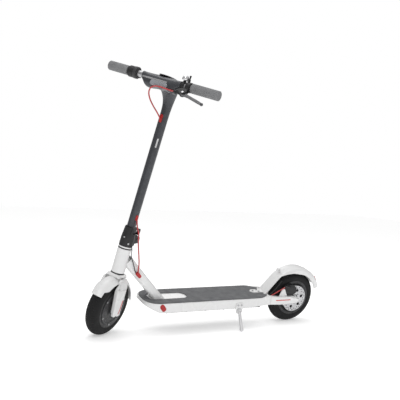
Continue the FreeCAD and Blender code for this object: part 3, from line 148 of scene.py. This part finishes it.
tree, given, result = groupTree("wornPatches", [("Scale", number, 30.0), ("Share", number, 0.2)], ["Mask"])
patch = calc(tree, "MULTIPLY", noise(tree, place(tree), given["Scale"], effectSizes["patchDetail"]),
             noise(tree, place(tree), calc(tree, "MULTIPLY", given["Scale"], effectSizes["fineFactor"]),
                   effectSizes["fineDetail"]))
put(tree, result["Mask"], calc(tree, "MULTIPLY", rescale(tree, patch, *effectSizes["patchRange"]),
                               given["Share"]))
wornPatches = tree

tree, given, result = groupTree("roadDust", [("Top", number, 0.2), ("Share", number, 0.3)], ["Mask"])
height = tree.nodes.new("ShaderNodeSeparateXYZ")
put(tree, height.inputs[0], place(tree))
fade = rescale(tree, height.outputs["Z"], given["Top"], 0.0)
speckle = rescale(tree, noise(tree, place(tree), effectSizes["speckleScale"], effectSizes["speckleDetail"]),
                  *effectSizes["speckleRange"])
put(tree, result["Mask"], calc(tree, "MULTIPLY", calc(tree, "MULTIPLY", fade, speckle), given["Share"]))
roadDust = tree

tree, given, result = groupTree("turnedRings", [("Centre", arrow, (0, 0, 0)), ("Axis", arrow, (0, 1, 0)),
                                                ("Pitch", number, 0.004)], ["Height"])
away = vectorCalc(tree, "SUBTRACT", "Vector", place(tree), given["Centre"])
along = vectorCalc(tree, "DOT_PRODUCT", "Value", away, given["Axis"])
reach = vectorCalc(tree, "LENGTH", "Value", away)
radius = calc(tree, "SQRT", calc(tree, "SUBTRACT", calc(tree, "MULTIPLY", reach, reach),
                                 calc(tree, "MULTIPLY", along, along)))
turns = calc(tree, "MULTIPLY", calc(tree, "DIVIDE", radius, given["Pitch"]), math.tau)
put(tree, result["Height"], rescale(tree, calc(tree, "SINE", turns), -1.0, 1.0))
turnedRings = tree

tree, given, result = groupTree("mouldedRibs", [("Direction", arrow, (1, 0, 0)), ("Pitch", number, 0.003)],
                                ["Height"])
along = vectorCalc(tree, "DOT_PRODUCT", "Value", place(tree), given["Direction"])
waves = calc(tree, "SINE", calc(tree, "MULTIPLY", calc(tree, "DIVIDE", along, given["Pitch"]), math.tau))
put(tree, result["Height"], rescale(tree, waves, *effectSizes["ribRange"]))
mouldedRibs = tree


def useGroup(tree, group, **values):
    node = tree.nodes.new("ShaderNodeGroup")
    node.node_tree = group
    for label, value in values.items():
        put(tree, node.inputs[label], value)
    return node.outputs


def mixColours(tree, share, first, second):
    node = tree.nodes.new("ShaderNodeMixRGB")
    put(tree, node.inputs["Fac"], share)
    put(tree, node.inputs["Color1"], first)
    put(tree, node.inputs["Color2"], second)
    return node.outputs["Color"]


# what a finish has unless it says otherwise
plainFinish = {"grain": 900.0, "grainDepth": 0.00002, "patch": 30.0, "worn": 0.15, "metal": 0.0, "coat": 0.0,
               "coatRoughness": 0.08, "shine": 0.5, "bump": 0.6, "shadeShare": 0.86,
               "dustTop": 0.3, "dustColour": (0.42, 0.39, 0.35)}


def makeFinish(name, changes):
    look = {**plainFinish, **changes}
    material = bpy.data.materials.new(name)
    material.use_nodes = True
    tree = material.node_tree
    shader = tree.nodes["Principled BSDF"]
    colour = (*look["colour"], 1.0)
    shade = (*look.get("shade", [c * look["shadeShare"] for c in look["colour"]]), 1.0)
    grain = useGroup(tree, fineGrain, Scale=look["grain"])
    worn = useGroup(tree, wornPatches, Scale=look["patch"], Share=look["worn"])
    base = mixColours(tree, worn["Mask"], mixColours(tree, grain["Mask"], colour, shade),
                      (*look.get("wornColour", look["colour"]), 1.0))
    if look.get("dust"):
        dust = useGroup(tree, roadDust, Top=look["dustTop"], Share=look["dust"])
        base = mixColours(tree, dust["Mask"], base, (*look["dustColour"], 1.0))
    put(tree, shader.inputs["Base Color"], base)
    low, high = look["roughness"]
    put(tree, shader.inputs["Roughness"], rescale(tree, grain["Mask"], 0.0, 1.0, low, high))
    shader.inputs["Metallic"].default_value = look["metal"]
    shader.inputs["Coat Weight"].default_value = look["coat"]
    shader.inputs["Coat Roughness"].default_value = look["coatRoughness"]
    shader.inputs["Specular IOR Level"].default_value = look["shine"]
    relief = calc(tree, "MULTIPLY", grain["Height"], look["grainDepth"])
    if "rings" in look:
        rings = useGroup(tree, turnedRings, **look["rings"])
        relief = calc(tree, "ADD", relief, calc(tree, "MULTIPLY", rings["Height"], look["ringDepth"]))
    for ribs in look.get("ribs", []):
        lines = useGroup(tree, mouldedRibs, Direction=ribs["direction"], Pitch=ribs["pitch"])
        relief = calc(tree, "ADD", relief, calc(tree, "MULTIPLY", lines["Height"], ribs["depth"]))
    bump = tree.nodes.new("ShaderNodeBump")
    bump.inputs["Distance"].default_value = 1.0
    bump.inputs["Strength"].default_value = look["bump"]
    put(tree, bump.inputs["Height"], relief)
    put(tree, shader.inputs["Normal"], bump.outputs["Normal"])
    if "glow" in look:
        shader.inputs["Emission Color"].default_value = (*look["glow"], 1.0)
        shader.inputs["Emission Strength"].default_value = look["glowStrength"]
    return material


frontCentre = frontFrame.translation
barAcross = frontAxle
mouldUp = rearFrame.to_3x3() @ Vector((0, 0, 1))
deckAcross = rearFrame.to_3x3() @ Vector((0, 1, 0))
deckAlong = rearFrame.to_3x3() @ Vector((1, 0, 0))

finishes = {
    "white_paint": {"colour": (0.79, 0.79, 0.79), "shade": (0.76, 0.76, 0.76), "roughness": (0.22, 0.32),
                    "coat": 0.6, "grain": 500.0, "worn": 0.08, "wornColour": (0.68, 0.67, 0.65), "dust": 0.10},
    "white_plastic": {"colour": (0.78, 0.78, 0.78), "shade": (0.75, 0.75, 0.75), "roughness": (0.25, 0.36),
                      "coat": 0.4, "grain": 700.0, "worn": 0.06, "wornColour": (0.7, 0.69, 0.67), "dust": 0.12},
    "stem_paint": {"colour": (0.050, 0.053, 0.060), "shade": (0.040, 0.042, 0.048), "roughness": (0.36, 0.48),
                   "metal": 0.35, "coat": 0.25, "grain": 2600.0, "grainDepth": 0.00004, "worn": 0.08,
                   "wornColour": (0.10, 0.10, 0.11)},
    "black_paint": {"shine": 0.35, "colour": (0.018, 0.018, 0.019), "roughness": (0.35, 0.5), "grain": 2000.0,
                    "worn": 0.12, "wornColour": (0.09, 0.09, 0.09)},
    "black_plastic": {"shine": 0.35, "colour": (0.017, 0.017, 0.018), "roughness": (0.42, 0.58),
                      "grain": 2400.0, "grainDepth": 0.00005, "worn": 0.1, "wornColour": (0.05, 0.05, 0.05)},
    "grip_rubber": {"colour": (0.21, 0.212, 0.218), "roughness": (0.62, 0.78), "grain": 1800.0,
                    "grainDepth": 0.00006, "worn": 0.15, "wornColour": (0.28, 0.28, 0.29),
                    "ribs": [{"direction": barAcross, "pitch": 0.0034, "depth": 0.0005}]},
    "mat_rubber": {"colour": (0.135, 0.137, 0.142), "shade": (0.105, 0.107, 0.112), "roughness": (0.7, 0.85),
                   "grain": 1500.0, "grainDepth": 0.0002, "worn": 0.25, "wornColour": (0.2, 0.2, 0.2),
                   "patch": 60.0, "ribs": [{"direction": deckAcross, "pitch": 0.006, "depth": 0.0005},
                                           {"direction": deckAlong, "pitch": 0.012, "depth": 0.0003}]},
    "tyre_rubber": {"shine": 0.2, "colour": (0.011, 0.011, 0.0115), "shade": (0.015, 0.015, 0.0155),
                    "roughness": (0.62, 0.8), "grain": 1600.0, "grainDepth": 0.00008, "worn": 0.2,
                    "wornColour": (0.035, 0.034, 0.033)},
    "tube_rubber": {"colour": (0.02, 0.02, 0.02), "roughness": (0.5, 0.65)},
    "red_rubber": {"colour": (0.42, 0.012, 0.012), "roughness": (0.4, 0.52), "grain": 1800.0},
    "red_plastic": {"colour": (0.50, 0.012, 0.012), "roughness": (0.18, 0.28), "coat": 0.5,
                    "ribs": [{"direction": mouldUp, "pitch": 0.004, "depth": 0.0003}]},
    "cable_black": {"colour": (0.016, 0.016, 0.017), "roughness": (0.35, 0.45), "grain": 1400.0},
    "cable_red": {"colour": (0.46, 0.020, 0.022), "roughness": (0.28, 0.38), "coat": 0.3, "grain": 1400.0},
    "motor_black": {"colour": (0.028, 0.029, 0.032), "roughness": (0.34, 0.48), "metal": 0.5, "grain": 2200.0,
                    "worn": 0.15, "wornColour": (0.16, 0.16, 0.17), "dust": 0.10},
    "bare_aluminium": {"colour": (0.46, 0.46, 0.47), "roughness": (0.24, 0.36), "metal": 1.0, "grain": 1200.0,
                       "worn": 0.1, "wornColour": (0.36, 0.36, 0.37)},
    "steel": {"colour": (0.52, 0.52, 0.53), "roughness": (0.24, 0.36), "metal": 1.0, "grain": 1500.0,
              "worn": 0.2, "wornColour": (0.32, 0.31, 0.3)},
    "chrome": {"colour": (0.78, 0.78, 0.79), "roughness": (0.06, 0.12), "metal": 1.0, "grainDepth": 0.000004},
    "lens": {"colour": (0.30, 0.31, 0.33), "roughness": (0.08, 0.14), "coat": 1.0,
             "ribs": [{"direction": barAcross, "pitch": 0.004, "depth": 0.0004}]},
    "battery_wrap": {"colour": (0.02, 0.08, 0.25), "roughness": (0.35, 0.45)},
}
materials = {slot: makeFinish("finish_" + slot, look) for slot, look in finishes.items()}

nodeLooks = {
    "motor_covers": ("motor_black", {"rings": {"Centre": frontCentre, "Axis": frontAxle, "Pitch": 0.0065},
                                     "ringDepth": 0.0006, "bump": 1.0}),
    "brake_disc": ("steel", {"rings": {"Centre": rearCentre, "Axis": rearAxle, "Pitch": 0.0011},
                             "ringDepth": 0.00005}),
    "rear_rim": ("motor_black", {"rings": {"Centre": rearCentre, "Axis": rearAxle, "Pitch": 0.0021},
                                 "ringDepth": 0.00005}),
    "dash_cover": ("black_plastic", {"roughness": (0.12, 0.2), "coat": 0.8, "grainDepth": 0.000003}),
    "brake_lever": ("bare_aluminium", {"colour": (0.10, 0.10, 0.105), "metal": 0.5, "roughness": (0.28, 0.38)}),
    "stand_bracket": ("white_paint", {}),
    "stand_leg": ("bare_aluminium", {"colour": (0.66, 0.66, 0.67), "metal": 0.3, "roughness": (0.35, 0.45)}),
    "throttle_housing": ("black_plastic", {"colour": (0.045, 0.045, 0.047)}),
}
for node, (slot, changes) in nodeLooks.items():
    materials[node] = makeFinish("finish_" + node, {**finishes[slot], **changes})


def dress(obj, material):
    if not obj.data.materials:
        obj.data.materials.append(material)
    for holder in obj.material_slots:
        holder.link = "OBJECT"
        holder.material = material


for node, obj in nodes.items():
    dress(obj, materials.get(node) or materials[slotOf[node]])
print("materials made:", len(materials))


def meshObject(name, points, faces, material, smooth=True):
    mesh = bpy.data.meshes.new(name)
    mesh.from_pydata(points, [], faces)
    mesh.validate()
    mesh.update()
    if smooth:
        mesh.polygons.foreach_set("use_smooth", [True] * len(mesh.polygons))
    obj = bpy.data.objects.new(name, mesh)
    bpy.context.scene.collection.objects.link(obj)
    obj.data.materials.append(material)
    return obj


def surfaceOf(node):
    mesh = nodes[node].data
    return BVHTree.FromPolygons([v.co.copy() for v in mesh.vertices],
                                [tuple(p.vertices) for p in mesh.polygons])


# startAway in mm, rayLength and sunk in metres
stripBuild = {"across": (-0.5, -0.25, 0.0, 0.25, 0.5), "startAway": 60, "rayLength": 0.15, "sunk": 0.0003}


def inlaidStrip(name, node, body, place, material, route, width, look, proud=0.0005, steps=24):
    # a thin closed strip that follows the node's surface; route and width in mm, look is the way it is laid on
    surface = surfaceOf(node)
    wide = len(stripBuild["across"])
    toward = place.to_3x3() @ Vector(look)
    path = [Vector(p) for p in route]
    lengths = [(b - a).length for a, b in zip(path, path[1:])]
    rows = []
    for step in range(steps + 1):
        rest = sum(lengths) * step / steps
        index = 0
        while index < len(lengths) - 1 and rest > lengths[index]:
            rest -= lengths[index]
            index += 1
        forward = (path[index + 1] - path[index]).normalized()
        centre = path[index] + forward * rest
        sideways = forward.cross(Vector(look)).normalized()
        row = []
        for share in stripBuild["across"]:
            away = Vector(look) * stripBuild["startAway"]
            start = place @ ((centre + sideways * width * share - away) / 1000)
            hit, normal, _, _ = surface.ray_cast(start, toward, stripBuild["rayLength"])
            if hit is None:
                continue
            if normal.dot(toward) > 0:
                normal = -normal
            row.append((hit, normal))
        if len(row) == wide:
            rows.append(row)
    points = []
    for row in rows:
        points += [hit + normal * proud for hit, normal in row]
        points += [hit - normal * stripBuild["sunk"] for hit, normal in row]
    faces = []
    count = len(rows)
    for i in range(count - 1):
        here, after = i * 2 * wide, (i + 1) * 2 * wide
        for j in range(wide - 1):
            faces.append((here + j, here + j + 1, after + j + 1, after + j))
            faces.append((here + wide + j, after + wide + j, after + wide + j + 1, here + wide + j + 1))
        faces.append((here, after, after + wide, here + wide))
        faces.append((here + wide - 1, here + 2 * wide - 1, after + 2 * wide - 1, after + wide - 1))
    end = (count - 1) * 2 * wide
    for j in range(wide - 1):
        faces.append((j, j + wide, j + wide + 1, j + 1))
        faces.append((end + j, end + j + 1, end + j + wide + 1, end + j + wide))
    strip = meshObject(name, points, faces, material, smooth=False)
    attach(strip, body)


# tyre sizes in mm, seen from the wheel's centre
tyreSizes = {"ring": 83.0, "outside": 25.0, "airRing": 84.0, "airRadius": 20.5, "beadRadius": 68.1,
             "flangeRadius": 74.1, "flangeInside": 20.7, "around": 600, "outerSteps": 48, "innerSteps": 12,
             "grooveDepth": 1.7, "grooves": (-8.0, 0.0, 8.0), "grooveHalf": 1.0, "grooveSlope": 1.6,
             "treadHalf": 17.0, "blockSegments": 8, "slitSegments": 2, "slitFrom": 2.2, "slitShare": 0.8,
             "slant": 0.35, "sideShift": 4, "shoulder": 3.5, "shoulderSegments": 3, "shoulderCut": 0.7}


def treadedTyre(name, node, body, place):
    s = tyreSizes
    flangeAngle = math.acos((s["flangeRadius"] - s["ring"]) / s["outside"])
    airAngle = math.acos((s["beadRadius"] - s["airRing"]) / s["airRadius"])
    outer = [flangeAngle * (i / s["outerSteps"] - 1) for i in range(2 * s["outerSteps"] + 1)]
    inner = [airAngle * (1 - i / s["innerSteps"]) for i in range(2 * s["innerSteps"] + 1)]
    around = s["around"]
    points = []
    for segment in range(around):
        angle = math.tau * segment / around
        spoke = Vector((math.cos(angle), 0, math.sin(angle)))
        loop = []
        for bend in outer:
            across = s["outside"] * math.sin(bend)
            cut = 0.0
            if abs(across) < s["treadHalf"]:
                line = min(abs(across - g) for g in s["grooves"])
                cut = s["grooveDepth"] * max(0.0, min(1.0, s["grooveSlope"] - line / s["grooveHalf"]))
                slant = int(abs(across) * s["slant"] + (s["sideShift"] if across > 0 else 0))
                if (segment + slant) % s["blockSegments"] < s["slitSegments"] and abs(across) > s["slitFrom"]:
                    cut = max(cut, s["grooveDepth"] * s["slitShare"])
            elif (abs(across) < s["treadHalf"] + s["shoulder"]
                  and segment % s["blockSegments"] < s["shoulderSegments"]):
                cut = s["shoulderCut"]
            depth = s["outside"] - cut
            loop.append((s["ring"] + depth * math.cos(bend), depth * math.sin(bend)))
        loop += [(s["flangeRadius"], s["flangeInside"]), (s["beadRadius"], s["flangeInside"])]
        loop += [(s["airRing"] + s["airRadius"] * math.cos(bend), s["airRadius"] * math.sin(bend))
                 for bend in inner]
        loop += [(s["beadRadius"], -s["flangeInside"]), (s["flangeRadius"], -s["flangeInside"])]
        points += [place @ ((spoke * r + Vector((0, y, 0))) / 1000) for r, y in loop]
    count = len(loop)
    faces = []
    for segment in range(around):
        here, after = segment * count, (segment + 1) % around * count
        for i in range(count):
            j = (i + 1) % count
            faces.append((here + i, after + i, after + j, here + j))
    tyre = meshObject(name, points, faces, materials["tyre_rubber"])
    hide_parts(node)
    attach(tyre, body)


treadedTyre("frontTyreTread", "front_tyre", "front_wheel", frontFrame)
treadedTyre("rearTyreTread", "rear_tyre", "rear_wheel", rearWheelFrame)
print("tyres done")


# the two cables that hang from the stem to the down tube, then the two behind the deck, in metres
cableRuns = {
    "brakeCableRun": {"radius": 0.0024, "finish": "cable_red", "slot": "cable_red", "route": [
        (0.36607, -0.06899, 0.41661), (0.36734, -0.06385, 0.39732), (0.35274, -0.07588, 0.3743),
        (0.35172, -0.08354, 0.34463), (0.33915, -0.08989, 0.26303), (0.33962, -0.09761, 0.24011),
        (0.33494, -0.10225, 0.22235)]},
    "displayLeadRun": {"radius": 0.0015, "finish": "cable_black", "slot": "black_plastic", "route": [
        (0.3705, -0.09443, 0.33043), (0.36804, -0.09343, 0.3122), (0.37003, -0.09809, 0.29383),
        (0.35811, -0.09512, 0.25937), (0.34907, -0.10255, 0.23538), (0.3406, -0.10555, 0.22314)]},
}
rearRuns = {
    "rearBrakeCable": {"radius": 0.002, "finish": "cable_red", "slot": "cable_red", "route": [
        (-0.25741, -0.11457, 0.11494), (-0.26951, -0.11308, 0.11976), (-0.28549, -0.10461, 0.13132),
        (-0.32066, -0.09336, 0.15358)]},
    "tailLightWire": {"radius": 0.0012, "finish": "cable_black", "slot": "black_plastic", "route": [
        (-0.25721, -0.11956, 0.118), (-0.2685, -0.11865, 0.12497), (-0.28248, -0.11252, 0.14007),
        (-0.30045, -0.10814, 0.16166), (-0.31443, -0.10661, 0.17871)]},
}


cableDetail = {"order": 3, "resolution": 16, "roundness": 5}


def cableAlong(name, run, node):
    curve = bpy.data.curves.new(name, "CURVE")
    curve.dimensions = "3D"
    spline = curve.splines.new("NURBS")
    spline.points.add(len(run["route"]) - 1)
    for point, spot in zip(spline.points, run["route"]):
        point.co = (*spot, 1.0)
    spline.order_u = cableDetail["order"]
    spline.use_endpoint_u = True
    spline.resolution_u = cableDetail["resolution"]
    curve.bevel_depth = run["radius"]
    curve.bevel_resolution = cableDetail["roundness"]
    curve.use_fill_caps = True
    shape = bpy.data.objects.new(name + "Shape", curve)
    bpy.context.scene.collection.objects.link(shape)
    bpy.context.view_layer.update()
    mesh = bpy.data.meshes.new_from_object(shape.evaluated_get(bpy.context.evaluated_depsgraph_get()))
    bpy.data.objects.remove(shape)
    mesh.polygons.foreach_set("use_smooth", [True] * len(mesh.polygons))
    cable = bpy.data.objects.new(name, mesh)
    bpy.context.scene.collection.objects.link(cable)
    dress(cable, materials[run["finish"]])
    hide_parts(node)
    return cable


for name, run in cableRuns.items():
    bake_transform(cableAlong(name, run, "crossing_cables"))
rearBrake = cableAlong("rearBrakeCable", rearRuns["rearBrakeCable"], "rear_cables")
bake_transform(rearBrake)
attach(cableAlong("tailLightWire", rearRuns["tailLightWire"], "rear_cables"), "frame")
print("cables done")


# red strips, a painted highlight streak on the stem and a painted highlight line across the stem head
redReflector = makeFinish("redReflector", {"colour": (0.62, 0.02, 0.02), "roughness": (0.15, 0.25), "coat": 0.8,
                                           "ribs": [{"direction": steerAxis, "pitch": 0.002, "depth": 0.0002}]})
# painted highlight: a pale grey stripe on the dark stem tube that stands in for a streak of light along it
paintedHighlightPale = makeFinish("paintedHighlightPale", {"colour": (0.62, 0.62, 0.62), "roughness": (0.3, 0.4), "grain": 900.0})
# painted highlight: a metallic silver line laid across the front of the stem head, where a bright highlight
# line falls
paintedHighlightSilver = makeFinish("paintedHighlightSilver", {"colour": (0.6, 0.6, 0.61), "roughness": (0.2, 0.3), "metal": 1.0})

stripSizes = {
    "forkStrip": {"route": [(-14, 0, 38), (-12, 0, 0), (-8, 0, -14)], "width": 4.5},
    "armStrip": {"route": [(114, 0, 115), (40, 0, 114.5)], "width": 3.6},
    "paintedHighlightLine": {"route": [(110, -73, 815), (110, 30, 815)], "width": 5.5},
    "paintedHighlightStreak": {"route": [(30, 24, 627), (30, 24, 595)], "width": 5.0},
}
for side, word in ((1, "Left"), (-1, "Right")):
    sizes = stripSizes["forkStrip"]
    route = [(x, side * 46, z) for x, _, z in sizes["route"]]
    inlaidStrip("forkStrip" + word, "fork_leg_covers", "fork", frontFrame, redReflector,
                route, sizes["width"], (0, -side, 0))
    sizes = stripSizes["armStrip"]
    route = [(x, side * 60, z) for x, _, z in sizes["route"]]
    inlaidStrip("armStrip" + word, "rear_arms", "frame", rearFrame, redReflector,
                route, sizes["width"], (0, -side, 0))
# the painted highlight line across the front of the stem head
sizes = stripSizes["paintedHighlightLine"]
inlaidStrip("paintedHighlightLine", "stem_head", "stem", frontFrame, paintedHighlightSilver,
            sizes["route"], sizes["width"], (-1, 0, 0))
# the painted highlight streak down the stem tube
sizes = stripSizes["paintedHighlightStreak"]
inlaidStrip("paintedHighlightStreak", "stem_tube", "stem", frontFrame, paintedHighlightPale,
            sizes["route"], sizes["width"], (-0.78, -0.62, 0), proud=0.0002)
print("strips done")


stageSizes = {"reach": 8.0, "glow": 0.36, "roughness": 0.75, "patchScale": 1.5, "patchDetail": 2.0,
              "colour": (0.93, 0.93, 0.93, 1), "shade": (0.9, 0.9, 0.9, 1),
              "skyTop": 0.9, "horizonLight": 0.22, "topLight": 0.85}
floorLook = bpy.data.materials.new("paleFloor")
floorLook.use_nodes = True
tree = floorLook.node_tree
shader = tree.nodes["Principled BSDF"]
soft = noise(tree, place(tree), stageSizes["patchScale"], stageSizes["patchDetail"])
put(tree, shader.inputs["Base Color"], mixColours(tree, soft, stageSizes["colour"], stageSizes["shade"]))
shader.inputs["Roughness"].default_value = stageSizes["roughness"]
shader.inputs["Emission Color"].default_value = (1, 1, 1, 1)
shader.inputs["Emission Strength"].default_value = stageSizes["glow"]
reach = stageSizes["reach"]
floor = meshObject("floor", [(-reach, -reach, 0), (reach, -reach, 0), (reach, reach, 0), (-reach, reach, 0)],
                   [(0, 1, 2, 3)], floorLook, smooth=False)

scene = bpy.context.scene
scene.view_settings.view_transform = "Standard"
world = bpy.data.worlds.new("studio")
world.use_nodes = True
tree = world.node_tree
background = tree.nodes["Background"]
background.inputs["Color"].default_value = (1, 1, 1, 1)
seen = tree.nodes.new("ShaderNodeLightPath").outputs["Is Camera Ray"]
skyHeight = tree.nodes.new("ShaderNodeSeparateXYZ")
put(tree, skyHeight.inputs[0], tree.nodes.new("ShaderNodeTexCoord").outputs["Generated"])
skyLight = rescale(tree, skyHeight.outputs["Z"], 0.0, stageSizes["skyTop"],
                   stageSizes["horizonLight"], stageSizes["topLight"])    # darker near the horizon
put(tree, background.inputs["Strength"], rescale(tree, seen, 0.0, 1.0, skyLight, 1.0))
scene.world = world

cameraSizes = {"azimuth": 30.04, "elevation": 1.8427, "distance": 2.46576, "target": (0.0534, -0.1782, 0.4966),
               "roll": 3.096, "lens": 56.97, "sensor": 36.0, "nearest": 0.05}    # angles in degrees
azimuth = math.radians(cameraSizes["azimuth"])
elevation = math.radians(cameraSizes["elevation"])
outward = Vector((math.sin(azimuth) * math.cos(elevation), math.cos(azimuth) * math.cos(elevation),
                  math.sin(elevation)))
right = (-outward).cross(Vector((0, 0, 1))).normalized()
up = right.cross(-outward)
roll = math.radians(cameraSizes["roll"])
camera = bpy.data.objects.new("camera", bpy.data.cameras.new("camera"))
camera.data.lens = cameraSizes["lens"]
camera.data.sensor_width = cameraSizes["sensor"]
camera.data.clip_start = cameraSizes["nearest"]
rotation = Matrix((right * math.cos(roll) + up * math.sin(roll), up * math.cos(roll) - right * math.sin(roll),
                   outward)).transposed().to_4x4()
rotation.translation = Vector(cameraSizes["target"]) + outward * cameraSizes["distance"]
camera.matrix_world = rotation
scene.collection.objects.link(camera)
scene.camera = camera

lampAim = Vector((0, 0, 0.35))
lamps = {"keyLamp": {"spot": (2.2, 2.4, 3.2), "size": 1.8, "power": 30.0},
         "fillLamp": {"spot": (-2.6, 2.2, 2.0), "size": 2.4, "power": 6.0},
         "topLamp": {"spot": (0.0, -0.4, 3.6), "size": 2.0, "power": 26.0},
         "backLamp": {"spot": (-1.0, -3.0, 2.2), "size": 2.0, "power": 10.0}}
for name, sizes in lamps.items():
    lamp = bpy.data.objects.new(name, bpy.data.lights.new(name, "AREA"))
    lamp.data.size = sizes["size"]
    lamp.data.energy = sizes["power"]
    lamp.location = sizes["spot"]
    lamp.rotation_euler = (lampAim - Vector(sizes["spot"])).to_track_quat("-Z", "Y").to_euler()
    scene.collection.objects.link(lamp)
print("stage and camera done")
